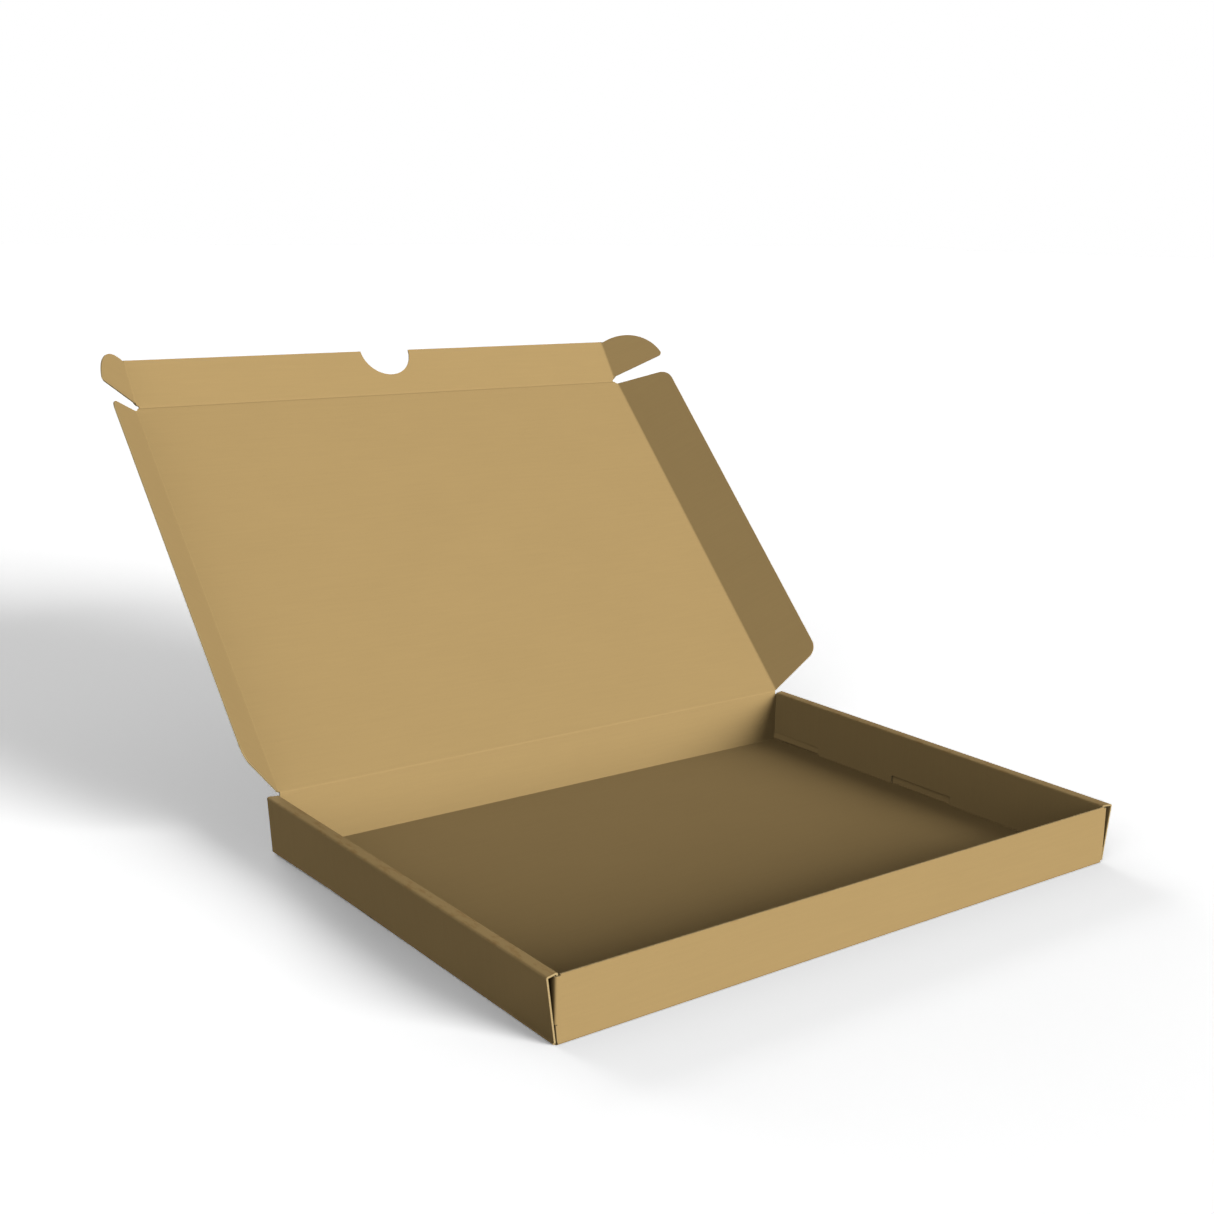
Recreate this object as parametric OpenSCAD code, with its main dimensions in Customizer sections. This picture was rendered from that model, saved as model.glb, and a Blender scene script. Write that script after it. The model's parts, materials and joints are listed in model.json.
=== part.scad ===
// Flat mailer box for sheets of letter paper, die-cut from one card blank and folded up, lid open.
// Millimetres. Origin: middle of the underside of the tray floor. X runs along the front wall to the
// right, Y from the front wall to the lid hinge, Z up. The lid leans back as it stands open.

/* [Board] */
// Thickness of the card
board_t = 0.8; // [0.6:0.1:1.2]
// Mid-line radius of a folded corner
bend_r = 0.6; // [0.6:0.1:0.9]
// Radius of the pressed crease that a moving flap turns on
crease_r = 0.5; // [0.5:0.05:0.7]
// Air left between two layers of card that only lie beside each other
layer_gap = 0.3; // [0.2:0.05:0.4]

/* [Tray] */
// Width of the floor, outside the side folds
base_w = 310; // [240:1:380]
// Depth of the floor, outside the front and back folds
base_d = 225; // [180:1:300]
// Height of the front wall
front_h = 27.6; // [24:0.1:40]
// Height of the rolled side walls
side_h = 28; // [24:0.1:40]
// Height of the lid crease above the top of the rolled side walls
lid_rise = 0.8; // [0.8:0.1:1.5]
// How far the outer side panels lean out at the top
side_lean = 3.8; // [3:0.1:6]
// Width of the flat strip on top of a rolled side wall
roll_w = 5.8; // [5.8:0.1:7]
// Length of the corner flaps held inside the rolled walls
corner_l = 62; // [40:1:80]
// Height of the notches along the lower edge of the inner side panels
notch_h = 4.2; // [3:0.1:6]
// Length of each locking tab that enters the floor
tab_l = 55; // [35:1:65]
// Distance of a locking tab's middle from the middle of the side
tab_y = 48; // [45:1:55]

/* [Lid] */
// How far the open lid leans back from upright, degrees
lid_lean = 44; // [20:1:80]
// Room left between the front edge of the closed lid and the front wall
lid_room = 0.8; // [0.7:0.1:2]
// Half-round relief at the front corners of the lid
relief_r = 1.7; // [1.2:0.1:2.5]

/* [Side flaps] */
// Width of a lid side flap
flap_w = 31.4; // [24:0.1:34]
// Fold of the side flaps out of the lid plane, degrees
flap_fold = 49; // [0:1:80]
// How far the ends of a side flap slant in
flap_slant = 9.5; // [4:0.5:14]
// Radius of a side flap's corners
flap_r = 8; // [4:0.5:12]

/* [Tuck flap] */
// Height of the tuck flap
tuck_h = 27.6; // [22:0.1:30]
// Fold of the tuck flap out of the lid plane, degrees
tuck_fold = 10; // [0:1:60]
// Radius of the thumb notch
thumb_r = 15.2; // [10:0.1:18]
// Fold of the ears out of the tuck plane, degrees
ear_fold = 46; // [0:1:80]
// How far out from the ear crease the centre of its round edge lies
ear_reach = 6.2; // [0:0.1:10]
// Radius of the tip of an ear
ear_tip_r = 2; // [1:0.1:3]

/* [Hidden] */
$fn = 64;
kraft = "#BCA06A";

half_t = board_t / 2;
bend_out = bend_r + half_t;
bend_steps = 5;
past = 1;

// A flap starts just clear of the crease that it turns on, and its inner face starts further out, so
// that it can fold well past a right angle
crease_gap = 0.12;
fold_limit = 144;
flap_start = crease_r + crease_gap;
flap_inside_start = half_t * tan(fold_limit / 2) + crease_gap;

// Tray places
half_w = base_w / 2;
half_d = base_d / 2;
wall_y = half_d - half_t;
floor_x = half_w - half_t;
roll_mid_z = side_h - half_t;
roll_out_x = half_w + side_lean - half_t;
roll_in_x = half_w + side_lean - roll_w + half_t;
roll_face_x = roll_in_x - half_t;
roll_end_inset = 0.2;
roll_end = half_d - roll_end_inset;
inner_end = half_d - board_t - layer_gap;
floor_end = half_d - bend_out - layer_gap;
notch_top = board_t + notch_h;

// The front and back walls step down at their ends to pass under the rolled strips
wall_shoulder_x = roll_face_x - layer_gap;
shoulder_h = side_h - board_t - layer_gap;

// The corner flaps start where the leaning side panel leaves room for them
corner_low = (board_t + layer_gap) / side_lean * roll_mid_z + half_t;
wall_foot_x = half_w - board_t - layer_gap;
wall_bend_x = floor_x - bend_out;
corner_slant = 4;

// Locking slots in the floor
slot_gap = 0.1;

// Lid places, in the lid's own plane: x across, y from the hinge, z out of the inner face
hinge_y = wall_y;
hinge_z = side_h + lid_rise;
hinge_end_inset = 0.5;
hinge_half = roll_face_x - hinge_end_inset;
lid_l = base_d - half_t - board_t - lid_room;
lid_overlap = 0.2;
lid_half = roll_face_x + lid_overlap;
flap_root_low = 0.5;
flap_root_high = lid_l - relief_r;
tuck_end_inset = 0.9;
tuck_half = roll_face_x - tuck_end_inset;
tuck_crease_half = tuck_half - 2 * relief_r;

// Ears: the edge towards the lid starts clear of the folded side flaps and runs slightly away from it
ear_root_low = 3;
ear_root_high = tuck_h - past;
ear_slope = 1.6;
ear_inset = 0.2;
ear_r = tuck_h - ear_inset;

function unit(v) = v / norm(v);
function left_of(v) = [-v[1], v[0]];

// Points of the arc that rounds the corner b between a and c
function bend(a, b, c) =
    let (u = unit(a - b), w = unit(c - b), half = acos(u * w) / 2)
    let (centre = b + unit(u + w) * bend_r / sin(half))
    let (from = b + u * bend_r / tan(half) - centre, to = b + w * bend_r / tan(half) - centre)
    let (start = atan2(from[1], from[0]), turn = atan2(to[1], to[0]) - start)
    let (sweep = turn > 180 ? turn - 360 : turn < -180 ? turn + 360 : turn)
    [for (i = [0:bend_steps]) centre + bend_r * [cos(start + sweep * i / bend_steps),
                                                 sin(start + sweep * i / bend_steps)]];

function rounded(path) =
    concat([path[0]],
           [for (i = [1:len(path) - 2]) each bend(path[i - 1], path[i], path[i + 1])],
           [path[len(path) - 1]]);

// Step from a point of the path to the left face of the card
function to_face(points, i) =
    let (before = i > 0 ? unit(points[i] - points[i - 1]) : unit(points[1] - points[0]))
    let (after = i < len(points) - 1 ? unit(points[i + 1] - points[i]) : before)
    let (side = unit(left_of(before) + left_of(after)))
    side * half_t / (side * left_of(before));

// Card seen edge-on along a path, with rounded folds
module folded_card(path) {
    points = rounded(path);
    last = len(points) - 1;
    polygon(concat([for (i = [0:last]) points[i] + to_face(points, i)],
                   [for (i = [last:-1:0]) points[i] - to_face(points, i)]));
}

// An XZ drawing made solid between -y_half and y_half
module along_y(y_half) {
    translate([0, y_half, 0]) rotate([90, 0, 0]) linear_extrude(2 * y_half) children();
}

// A YZ drawing made solid between -x_half and x_half
module along_x(x_half) {
    translate([-x_half, 0, 0]) rotate([90, 0, 90]) linear_extrude(2 * x_half) children();
}

module both_sides() {
    children();
    mirror([1, 0, 0]) children();
}

module both_ends() {
    children();
    mirror([0, 1, 0]) children();
}

// A flat panel of card about z = 0
module card() {
    translate([0, 0, -half_t]) linear_extrude(board_t) children();
}

// Floor and one rolled side wall: outer panel, top strip, inner panel down to its notched edge
module floor_and_side() {
    foot = [floor_x, half_t];
    outer_top = [roll_out_x, roll_mid_z];
    inner_top = [roll_in_x, roll_mid_z];
    inner_low = [roll_in_x, notch_top];
    along_y(floor_end) folded_card([[0, half_t], foot, outer_top, inner_top + [past, 0]]);
    along_y(inner_end) folded_card([outer_top - [past, 0], inner_top, inner_low]);
    intersection() {
        along_y(roll_end) folded_card([foot, outer_top, inner_top + [past, 0]]);
        translate([0, -half_d, bend_out + half_t]) cube([base_w, base_d, side_h]);
    }
}

// A locking tab at the lower edge of an inner side panel, and the floor slot that takes it
module tab() {
    translate([roll_face_x, tab_y - tab_l / 2, slot_gap]) cube([board_t, tab_l, notch_top + past]);
}

module slot() {
    translate([roll_face_x - slot_gap, tab_y - tab_l / 2 - slot_gap, -past])
        cube([board_t + 2 * slot_gap, tab_l + 2 * slot_gap, board_t + 2 * past]);
}

// An end wall folded up from the floor, given at the front: its foot, which widens with the leaning side
// panels, and the shoulders under the rolls
module end_wall(top) {
    fold = [[-half_d / 2, half_t], [-wall_y, half_t], [-wall_y, top]];
    intersection() {
        along_x(half_w) folded_card(fold);
        union() {
            translate([-wall_bend_x, -half_d, 0]) cube([2 * wall_bend_x, half_d, bend_out]);
            translate([0, past - half_d, 0]) rotate([90, 0, 0]) linear_extrude(past) both_sides() polygon([
                [0, bend_out], [wall_foot_x, bend_out], [floor_x, corner_low], [wall_foot_x, corner_low],
                [wall_foot_x, shoulder_h], [0, shoulder_h]]);
            translate([-wall_shoulder_x, -half_d, bend_out]) cube([2 * wall_shoulder_x, past, top]);
        }
    }
}

// Corner flap of the front wall, folded back inside the right rolled wall
module corner_flap() {
    near = bend_out - wall_y;
    far = corner_l - wall_y;
    intersection() {
        linear_extrude(side_h)
            folded_card([[wall_foot_x - past, -wall_y], [floor_x, -wall_y], [floor_x, far]]);
        along_x(half_w + past) polygon([
            [-half_d, corner_low], [-half_d, shoulder_h], [near, shoulder_h],
            [far, shoulder_h - corner_slant], [far, corner_low + corner_slant], [near, corner_low]]);
    }
}

module tray() {
    color(kraft) {
        difference() {
            both_sides() floor_and_side();
            both_sides() both_ends() slot();
        }
        both_sides() both_ends() tab();
        both_sides() both_ends() corner_flap();
        end_wall(front_h);
        mirror([0, 1, 0]) end_wall(hinge_z);
        translate([hinge_half, hinge_y, hinge_z]) rotate([0, 0, 90]) crease(0, 2 * hinge_half);
    }
}

// Puts children in the plane of the open lid
module on_lid() {
    translate([0, hinge_y, hinge_z]) rotate([90 - lid_lean, 0, 0]) children();
}

module on_tuck() {
    on_lid() translate([0, lid_l, 0]) rotate([tuck_fold, 0, 0]) children();
}

// Puts children in the plane of the right side flap: x out from its crease, y along the lid
module on_flap() {
    translate([lid_half, 0, 0]) rotate([0, -flap_fold, 0]) children();
}

module on_ear() {
    translate([tuck_half, 0, 0]) rotate([0, -ear_fold, 0]) children();
}

// A crease along y, from low to high
module crease(low, high) {
    translate([0, low, 0]) rotate([-90, 0, 0]) cylinder(r = crease_r, h = high - low);
}

// Slope that takes the inner corner off a panel's folded edge, along y
module fold_room(low, high) {
    rotate([90, 0, 0]) translate([0, 0, -high - past]) linear_extrude(high - low + 2 * past)
        polygon([[0, -board_t], [flap_start, -board_t], [flap_start, -half_t],
                 [flap_inside_start, half_t], [flap_inside_start, board_t], [0, board_t]]);
}

module lid_panel() {
    color(kraft) on_lid() {
        difference() {
            card() translate([-lid_half, flap_start]) square([2 * lid_half, lid_l - flap_start]);
            both_sides() translate([lid_half, lid_l, -past]) cylinder(r = relief_r, h = 2 * past);
        }
        both_sides() translate([lid_half, 0, 0]) crease(flap_root_low + past, flap_root_high - past);
        translate([tuck_crease_half, lid_l, 0]) rotate([0, 0, 90]) crease(0, 2 * tuck_crease_half);
    }
}

// Outline of a side flap: slanting ends with round corners
module flap_outline() {
    difference() {
        polygon([[0, flap_root_low], [flap_w, flap_root_low + flap_slant],
                 [flap_w, flap_root_high - flap_slant], [0, flap_root_high]]);
        flap_corner(flap_root_low, 1);
        flap_corner(flap_root_high, -1);
    }
}

// What lies outside the round at a flap corner; dir is the way from this end to the other
module flap_corner(root, dir) {
    tilt = atan(flap_slant / flap_w);
    run = flap_r * tan(45 - tilt / 2);
    tip = [flap_w, root + dir * flap_slant];
    centre = tip + [-flap_r, dir * run];
    back = tip - run * [cos(tilt), dir * sin(tilt)];
    difference() {
        polygon([back, tip + [past, 0], tip + [past, dir * run], tip + [0, dir * run], centre]);
        translate(centre) circle(flap_r);
    }
}

module side_flap() {
    color(kraft) on_flap() difference() {
        card() flap_outline();
        fold_room(0, lid_l);
    }
}

module left_side_flap() {
    on_lid() mirror([1, 0, 0]) side_flap();
}

module right_side_flap() {
    on_lid() side_flap();
}

module tuck_flap() {
    color(kraft) on_tuck() {
        card() difference() {
            translate([-tuck_half, flap_start]) square([2 * tuck_half, tuck_h - flap_start]);
            translate([0, tuck_h]) circle(thumb_r);
            both_sides() translate([tuck_half, 0]) circle(relief_r);
        }
        both_sides() translate([tuck_half, 0, 0]) crease(ear_root_low + past, ear_root_high);
    }
}

// Outline of an ear: a round back and a nearly straight edge towards the lid, with a rounded tip
module ear_outline() {
    tip_y = ear_root_low + ear_slope + ear_tip_r;
    tip_x = ear_reach + sqrt(pow(ear_r - ear_tip_r, 2) - pow(tip_y, 2));
    difference() {
        intersection() {
            translate([ear_reach, 0]) circle(ear_r);
            polygon([[0, ear_root_low], [tip_x, tip_y - ear_tip_r], [2 * ear_r, tip_y - ear_tip_r],
                     [2 * ear_r, 2 * ear_r], [0, 2 * ear_r]]);
        }
        difference() {
            translate([tip_x, 0]) square([ear_r, tip_y]);
            translate([tip_x, tip_y]) circle(ear_tip_r);
        }
    }
}

module tuck_ear() {
    color(kraft) on_ear() difference() {
        card() ear_outline();
        fold_room(0, tuck_h + past);
    }
}

module left_tuck_ear() {
    on_tuck() mirror([1, 0, 0]) tuck_ear();
}

module right_tuck_ear() {
    on_tuck() tuck_ear();
}

tray();
lid_panel();
left_side_flap();
right_side_flap();
tuck_flap();
left_tuck_ear();
right_tuck_ear();
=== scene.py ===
"""Dresses a flat mailer box: folded kraft card, creases that bend with the flaps, and a white stage."""

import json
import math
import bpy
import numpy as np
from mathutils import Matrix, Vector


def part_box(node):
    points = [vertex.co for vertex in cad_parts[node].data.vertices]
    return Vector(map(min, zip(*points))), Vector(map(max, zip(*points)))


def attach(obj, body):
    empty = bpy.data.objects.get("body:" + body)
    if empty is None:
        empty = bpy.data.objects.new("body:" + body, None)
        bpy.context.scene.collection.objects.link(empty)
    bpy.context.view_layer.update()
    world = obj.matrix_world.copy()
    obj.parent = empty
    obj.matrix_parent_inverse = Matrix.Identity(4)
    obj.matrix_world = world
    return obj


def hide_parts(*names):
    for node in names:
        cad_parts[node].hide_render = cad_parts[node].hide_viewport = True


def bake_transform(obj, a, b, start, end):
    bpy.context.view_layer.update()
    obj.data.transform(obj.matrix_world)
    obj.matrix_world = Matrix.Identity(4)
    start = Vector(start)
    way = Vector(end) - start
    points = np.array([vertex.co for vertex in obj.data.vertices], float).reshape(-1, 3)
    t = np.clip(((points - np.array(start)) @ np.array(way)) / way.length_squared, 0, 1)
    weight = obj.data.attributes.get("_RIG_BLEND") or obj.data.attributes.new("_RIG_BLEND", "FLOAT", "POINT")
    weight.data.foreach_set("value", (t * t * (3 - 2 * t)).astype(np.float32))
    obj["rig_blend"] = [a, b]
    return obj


bl_info = {
    "name": "Kraft Mailer Box",
    "version": (1, 0, 0),
    "blender": (4, 5, 0),
    "location": "View3D > Sidebar > Mailer Box",
    "description": "Builds the card panels, creases and stage of an open mailer box around its packed solids",
    "category": "Object",
}

import bmesh
import bpy
from bpy.props import FloatProperty, FloatVectorProperty, IntProperty, PointerProperty
from bpy.types import Operator, Panel, PropertyGroup
from mathutils import Matrix, Vector

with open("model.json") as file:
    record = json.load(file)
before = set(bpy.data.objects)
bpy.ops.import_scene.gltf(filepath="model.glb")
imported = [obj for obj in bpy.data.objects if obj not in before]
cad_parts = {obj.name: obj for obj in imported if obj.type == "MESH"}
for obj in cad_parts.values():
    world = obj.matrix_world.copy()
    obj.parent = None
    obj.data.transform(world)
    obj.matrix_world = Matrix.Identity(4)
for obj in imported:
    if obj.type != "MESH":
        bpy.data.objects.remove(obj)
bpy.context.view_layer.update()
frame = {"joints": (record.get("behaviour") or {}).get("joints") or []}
TRAY_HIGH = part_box("tray")[1]
JOINTS = {joint["name"]: joint for joint in frame["joints"]}

MM = 0.001
LINER, CUT_EDGE = 0, 1
BLANK = "blank"
RUBBED = "rubbed"
SIDES = {"left": -1, "right": 1}

# Distances within which two points count as being in one place, and within which they are joined
CLOSE = 1e-6
JOINED = 1e-7

# Angles above which an edge is sharp and a cut edge is softened, in degrees
SHARP_EDGE = 22
SOFT_EDGE = 60

# Facets in the round stretches
CORNER_STEPS = 10
THUMB_STEPS = 32
TIP_STEPS = 8
EAR_STEPS = 20
CREASE_STEPS = 28

# Straight card kept beside a bend
HOLD = 0.35 * MM

# Slit between a wall's foot and its corner flap, and the share of it that the wall steps back over
SLIT = 0.4 * MM
SLIT_STEP = 0.9

# How far the hinge crease ends before the rolled walls
HINGE_INSET = 0.5 * MM

# Share of the pressed depth on the hinge, and on the creases of the flaps and ears
HINGE_PRESS = 0.25
FLAP_PRESS = 0.15

# Repeats of the paper's patterns per metre: across the sheet, along it and through it
REPEATS = {
    "clouds": (22, 30, 1),
    "streaks": (38, 720, 1),
    "grain": (1500, 2300, 1),
    "strands": (260, 1900, 1),
    "scuffs": (330, 110, 1),
    "tooth": (2600, 3400, 1),
    "layers": (900, 900, 5200),
    "edge grain": (2400, 2400, 2400),
}

# Darkest and lightest share of the mean kraft colour, and how strongly the pattern moves between them
KRAFT_SPAN = (0.94, 1.06)
PATTERN_GAIN = 8

# Stage sizes: the sensor in millimetres, the rest in metres
SENSOR = 36.0
NEAR_CLIP = 0.01
FLOOR_HALF = 12.0
LAMP_DISTANCE = 3

# Azimuth, elevation and spread of the lamps in degrees; azimuth 0 is in front and turns to the right
LAMPS = {"key": (21, 16, 30), "back": (180, 12, 50), "side": (-60, 25, 50)}


# Places of the creases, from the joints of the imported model

def joint_place(name):
    """Point on a joint's axis, in metres."""
    return Vector(JOINTS[name]["pos_m"])


def lean_of(name):
    """How far back from upright a crease that runs up the lid leans, in radians."""
    axis = Vector(JOINTS[name]["axis"])
    return math.atan2(axis.y, axis.z)


HINGE = joint_place("lid_hinge")
LID_LENGTH = (joint_place("tuck_crease") - HINGE).length
LID_HALF = joint_place("right_flap_crease").x
TUCK_HALF = joint_place("right_ear_crease").x
LID_LEAN = lean_of("left_flap_crease")
TUCK_FOLD = LID_LEAN - lean_of("left_ear_crease")


# Settings that a user would change

def length(name, description, millimetres):
    """A length property, given in millimetres and kept in metres."""
    return FloatProperty(name=name, description=description, default=millimetres * MM, min=0.0,
                         precision=5, subtype="DISTANCE", unit="LENGTH")


def turn(name, description, degrees):
    """An angle property, given in degrees."""
    return FloatProperty(name=name, description=description, default=math.radians(degrees),
                         subtype="ANGLE", unit="ROTATION")


def share(name, description, value):
    """A plain number from 0 to 1."""
    return FloatProperty(name=name, description=description, default=value, min=0.0, max=1.0,
                         subtype="FACTOR")


def level(name, description, value):
    """A plain number of zero or more."""
    return FloatProperty(name=name, description=description, default=value, min=0.0)


def colour(name, description, value):
    """A colour property, in linear values."""
    return FloatVectorProperty(name=name, description=description, default=value, min=0.0, max=1.0,
                               subtype="COLOR", size=3)


class CardSizes(PropertyGroup):
    """Sizes of the card and of its folds."""

    board: length("Board", "Thickness of the card", 0.8)
    bend: length("Bend radius", "Mid-line radius of a fixed fold", 0.6)
    roll_bend: length("Roll bend", "Mid-line radius of the folds on top of a rolled wall", 0.44)
    bend_steps: IntProperty(name="Bend steps", description="Facets in a fixed fold", default=6, min=3)
    soften: length("Edge softness", "Rounding of the cut edges", 0.07)
    layer_gap: length("Layer gap", "Air between two layers of card", 0.3)
    crease_reach: length("Crease reach", "Distance from a crease line at which its panels are flat", 1.6)
    crease_bend: length("Crease bend", "Half width of the bent part of a moving crease", 0.7)
    crease_lap: length("Crease lap", "How far a panel runs under the bent card of its crease", 0.25)
    crease_skin: length("Crease skin", "How far the bent card stands proud of its panels", 0.012)
    crease_groove: length("Crease groove", "Depth of the line pressed along a crease", 0.3)
    crease_line: length("Crease line", "Half width of the pressed line", 0.55)


class TraySizes(PropertyGroup):
    """Sizes of the tray."""

    front_height: length("Front height", "Height of the front wall", 27.6)
    side_height: length("Side height", "Height of the rolled side walls", 28)
    side_lean: length("Side lean", "How far the outer side panels lean out at the top", 3.8)
    roll_width: length("Roll width", "Width of the strip on top of a rolled wall", 5.8)
    roll_inset: length("Roll inset", "How far the ends of the rolls stay behind the wall faces", 0.2)
    notch_height: length("Notch height", "Height of the notches under the inner side panels", 4.2)
    tab_length: length("Tab length", "Length of a locking tab", 55)
    tab_place: length("Tab place", "Distance of a tab's middle from the middle of the side", 48)
    slot_gap: length("Slot gap", "Air around a locking tab in its slot", 0.1)
    corner_length: length("Corner length", "Length of the corner flaps inside the rolls", 62)
    corner_slant: length("Corner slant", "Taper of the corner flaps", 4)


class FlapSizes(PropertyGroup):
    """Sizes of the lid's flaps."""

    relief: length("Relief", "Radius of the relief at the lid's front corners", 1.7)
    flap_width: length("Flap width", "Width of a side flap", 31.4)
    flap_fold: turn("Flap fold", "Fold of the side flaps out of the lid plane", 49)
    flap_slant: length("Flap slant", "How far the ends of a side flap slant in", 9.5)
    flap_corner: length("Flap corner", "Radius of a side flap's corners", 8)
    flap_root: length("Flap root", "Distance of a side flap's end from the lid hinge", 0.5)
    tuck_height: length("Tuck height", "Height of the tuck flap", 27.6)
    thumb_radius: length("Thumb notch", "Radius of the thumb notch", 15.2)
    ear_fold: turn("Ear fold", "Fold of the ears out of the tuck plane", 46)
    ear_radius: length("Ear radius", "Radius of an ear's round back", 27.4)
    ear_reach: length("Ear reach", "Distance of the round's centre from the ear crease", 6.2)
    ear_tip: length("Ear tip", "Radius of an ear's tip", 2)
    ear_root: length("Ear root", "Distance of the ear's straight edge from the tuck crease", 3)
    ear_slope: length("Ear slope", "How far that edge runs away from the lid", 1.6)


class KraftFinish(PropertyGroup):
    """Colours and grain of the kraft card."""

    kraft: colour("Kraft", "Mean colour of the liner", (0.523, 0.356, 0.148))
    fibre: colour("Fibre", "Colour of the darker fibres", (0.33, 0.215, 0.078))
    edge: colour("Cut edge", "Colour of the cut edge of the card", (0.70, 0.52, 0.26))
    edge_dark: colour("Edge fibre", "Colour of the dark layers in a cut edge", (0.55, 0.40, 0.18))
    cloud: share("Clouds", "Strength of the broad unevenness of the pulp", 0.05)
    streak: share("Streaks", "Strength of the streaks along the grain", 0.07)
    grain: share("Grain", "Strength of the fine mottling", 0.06)
    fleck: share("Flecks", "Strength of the single dark fibres", 0.16)
    scuff: share("Scuffs", "Strength of the rubbed marks on the rolled walls", 0.75)
    scuffed: colour("Scuffed", "Colour of the rubbed marks", (0.44, 0.265, 0.095))
    roughness: share("Roughness", "Mean roughness of the liner", 0.86)


class StudioStage(PropertyGroup):
    """Camera, lights and floor."""

    camera_place: FloatVectorProperty(name="Camera place", description="Where the camera stands",
                                      default=(-0.468284, -0.558578, 0.289799), subtype="TRANSLATION",
                                      unit="LENGTH", precision=6)
    camera_yaw: turn("Camera yaw", "Turn of the view to the right of the depth axis", 36.783)
    camera_drop: turn("Camera drop", "How far the view looks down", 13.238)
    camera_roll: turn("Camera roll", "Tilt of the view", 0.962)
    lens: FloatProperty(name="Lens", description="Focal length on a sensor of 36 mm", default=49.604,
                        subtype="DISTANCE_CAMERA")
    key: level("Key light", "Strength of the soft light from the front and right", 2.96)
    back: level("Back light", "Strength of the soft light from behind", 1.5)
    side: level("Side light", "Strength of the weak light from the left", 0.64)
    dome: level("Dome", "Strength of the even light from all round", 0.01)
    bounces: IntProperty(name="Bounces", description="How often light bounces from the card and the floor",
                         default=0, min=0)
    floor_lit: level("Floor in light",
                     "Reflectance that the camera sees where the lights reach the floor", 1.85)
    # The floor's white is a glow that fades close to the box as painted shade; shade reach sets where the
    # fade starts
    floor_white: share("Floor white", "White that the camera sees beside that, fading close to the box", 0.22)
    shade_reach: length("Shade reach", "How far from the box that white starts to fade", 600)


def card():
    return bpy.context.scene.mailer_card


def tray_sizes():
    return bpy.context.scene.mailer_tray


def flaps():
    return bpy.context.scene.mailer_flaps


def finish():
    return bpy.context.scene.mailer_finish


def studio():
    return bpy.context.scene.mailer_stage


# Shader trees

class Signal:
    """A number in a shader tree; arithmetic on it adds Math nodes."""

    def __init__(self, tree, socket):
        self.tree = tree
        self.socket = socket

    def math(self, operation, first, second):
        node = self.tree.nodes.new("ShaderNodeMath")
        node.operation = operation
        for socket, value in zip(node.inputs, (first, second)):
            if isinstance(value, Signal):
                self.tree.links.new(value.socket, socket)
            else:
                socket.default_value = value
        return Signal(self.tree, node.outputs[0])

    def __add__(self, other):
        return self.math("ADD", self, other)

    def __radd__(self, other):
        return self.math("ADD", other, self)

    def __sub__(self, other):
        return self.math("SUBTRACT", self, other)

    def __rsub__(self, other):
        return self.math("SUBTRACT", other, self)

    def __mul__(self, other):
        return self.math("MULTIPLY", self, other)

    def above(self, other):
        return self.math("MAXIMUM", self, other)

    def below(self, other):
        return self.math("MINIMUM", self, other)


class Finish:
    """A procedural material and the nodes that make it."""

    owners = "materials"
    output = "ShaderNodeOutputMaterial"

    def __init__(self, name):
        self.owner = getattr(bpy.data, self.owners).new(name)
        self.owner.use_nodes = True
        self.tree = self.owner.node_tree
        self.tree.nodes.clear()

    def node(self, kind, settings=None, **sockets):
        """Adds a node: its settings are set first, then its sockets are given values or links.

        A socket is named by its label with _ for a space, or by its place as in_0, in_1 and so on.
        """
        node = self.tree.nodes.new(kind)
        for key, value in (settings or {}).items():
            setattr(node, key, value)
        for key, value in sockets.items():
            place = int(key[3:]) if key.startswith("in_") else key.replace("_", " ")
            socket = node.inputs[place]
            if isinstance(value, Signal):
                value = value.socket
            if isinstance(value, bpy.types.NodeSocket):
                self.tree.links.new(value, socket)
            else:
                socket.default_value = value
        return node

    def number(self, node, output="Fac"):
        return Signal(self.tree, node.outputs[output])

    def scaled(self, vector, factors):
        """A vector socket stretched by three factors."""
        node = self.node("ShaderNodeVectorMath", {"operation": "MULTIPLY"}, in_0=vector, in_1=factors)
        return node.outputs["Vector"]

    def noise(self, vector, factors, detail=2.0, roughness=0.5):
        """Noise about zero, from about -0.5 to 0.5, on a stretched vector."""
        node = self.node("ShaderNodeTexNoise", {"noise_dimensions": "3D"},
                         Vector=self.scaled(vector, factors), Scale=1.0, Detail=detail,
                         Roughness=roughness)
        return self.number(node) - 0.5

    def ramp(self, value, low, high):
        """A number that goes from 0 at low to 1 at high."""
        node = self.node("ShaderNodeMapRange", {"clamp": True, "interpolation_type": "SMOOTHSTEP"},
                         Value=value, From_Min=low, From_Max=high, To_Min=0.0, To_Max=1.0)
        return self.number(node, "Result")

    def mix(self, amount, first, second):
        """A colour between two colours or colour sockets."""
        first, second = (value if isinstance(value, bpy.types.NodeSocket) else (*value, 1.0)
                         for value in (first, second))
        node = self.node("ShaderNodeMix", {"data_type": "RGBA"}, in_0=amount, in_6=first, in_7=second)
        return node.outputs[2]

    def surface(self, socket):
        self.node(self.output, Surface=socket)
        return self.owner


class WorldFinish(Finish):
    """The light of the world, made of nodes in the same way."""

    owners = "worlds"
    output = "ShaderNodeOutputWorld"


def shade(colour_value, factor):
    """A colour made lighter or darker."""
    return tuple(min(1.0, channel * factor) for channel in colour_value)


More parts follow.
